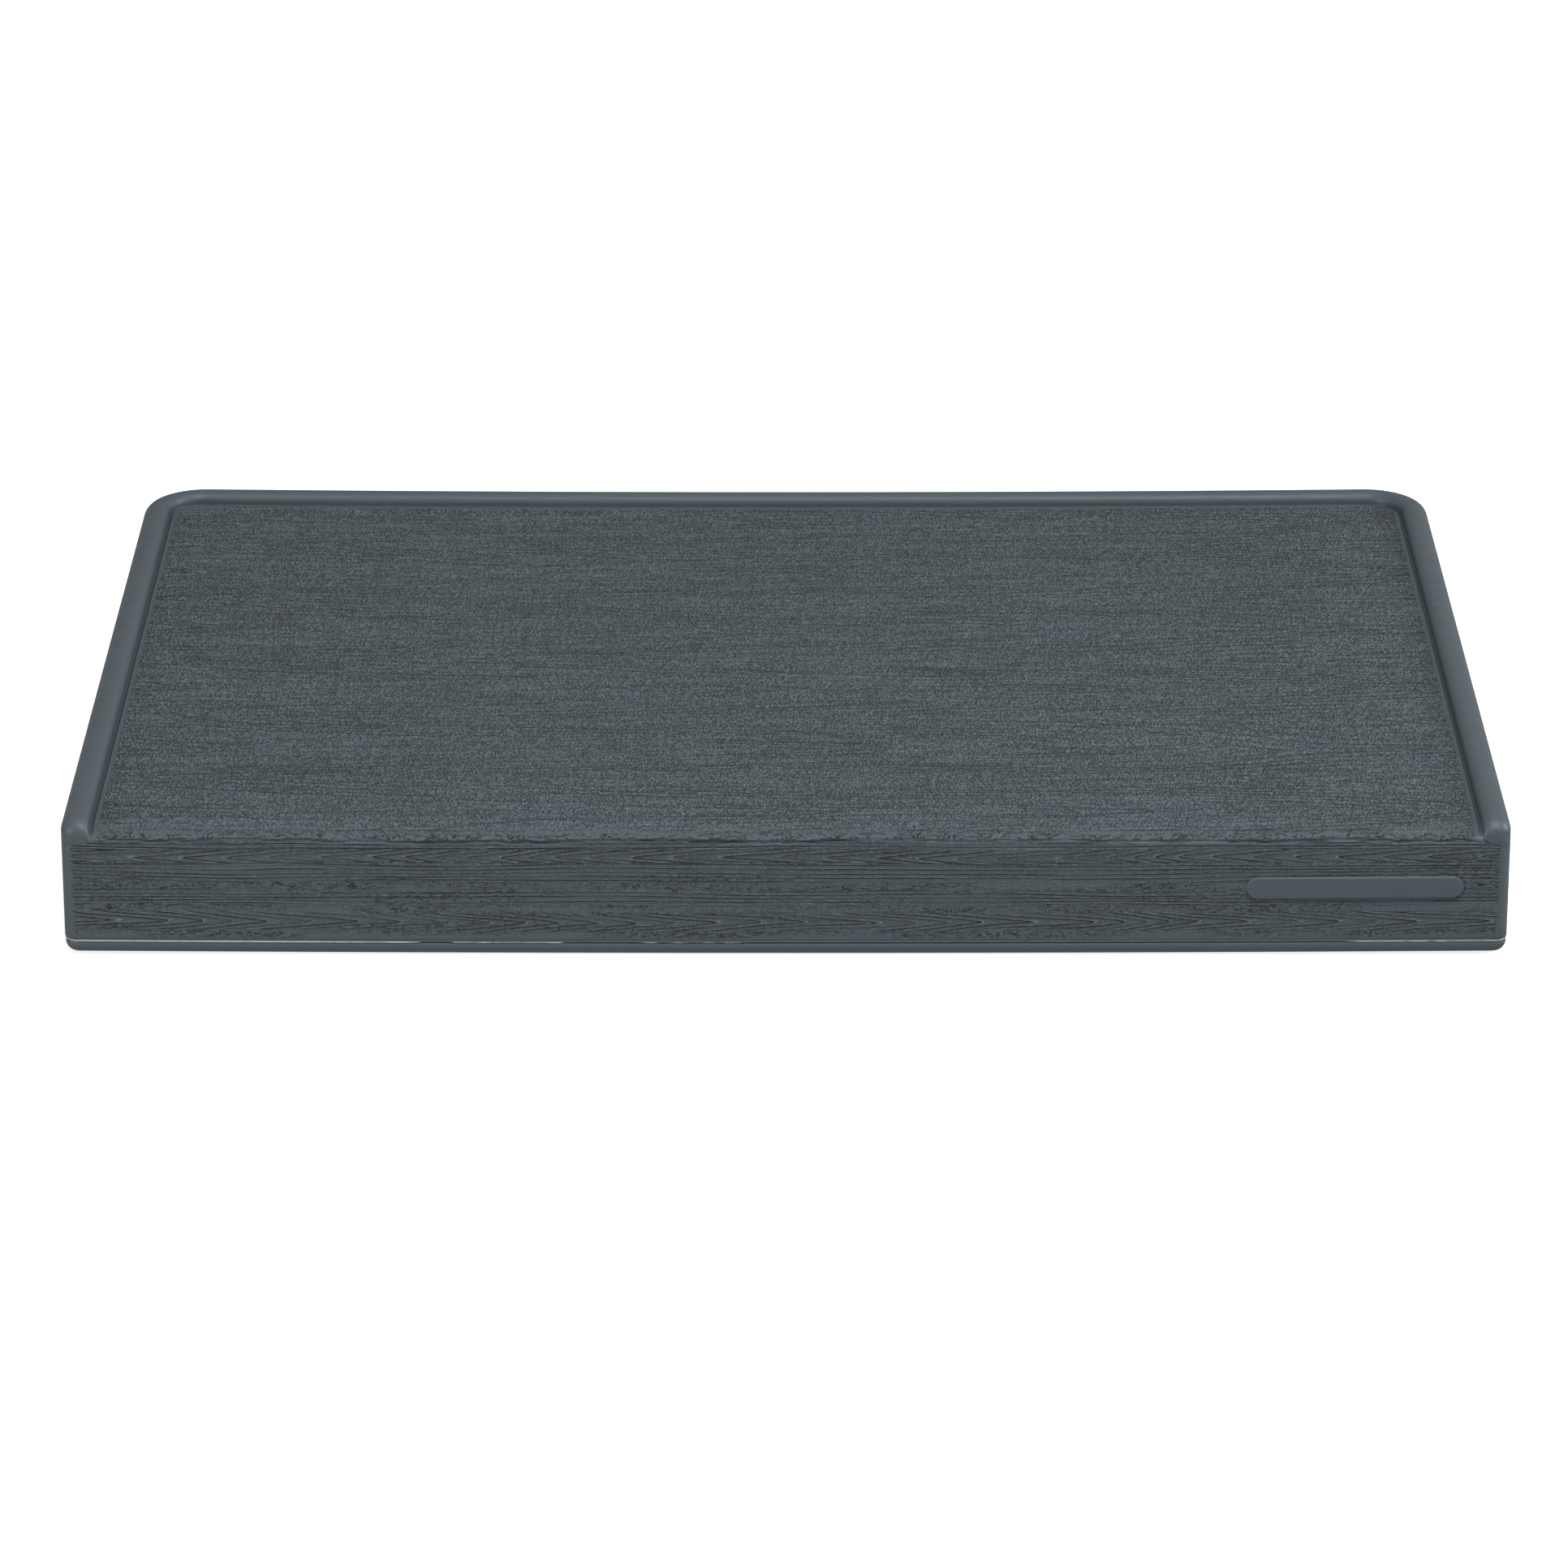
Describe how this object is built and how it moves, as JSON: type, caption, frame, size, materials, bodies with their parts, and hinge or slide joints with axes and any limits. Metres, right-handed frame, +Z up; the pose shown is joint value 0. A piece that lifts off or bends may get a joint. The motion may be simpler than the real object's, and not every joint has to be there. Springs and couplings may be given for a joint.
{
  "type": "cushioned counter mat",
  "caption": "Small cushioned silicone counter mat with a wood-grain deck, a raised rim at its sides and back, and a square open front.",
  "frame": {"origin": "middle of the resting surface, under the middle of the mat", "axes": "+X to the right as seen from the open front, +Y from the open front to the rimmed back, +Z up out of the deck"},
  "size_m": [0.21, 0.1504, 0.021],
  "materials": {
    "cover_silicone": "matte",
    "base_silicone": "matte",
    "seam_adhesive": "satin",
    "cushion_foam": "matte"
  },
  "bodies": {
    "root": {"cover": "cover_silicone", "base": "base_silicone", "seam_bond": "seam_adhesive", "cushion": "cushion_foam"}
  },
  "joints": []
}
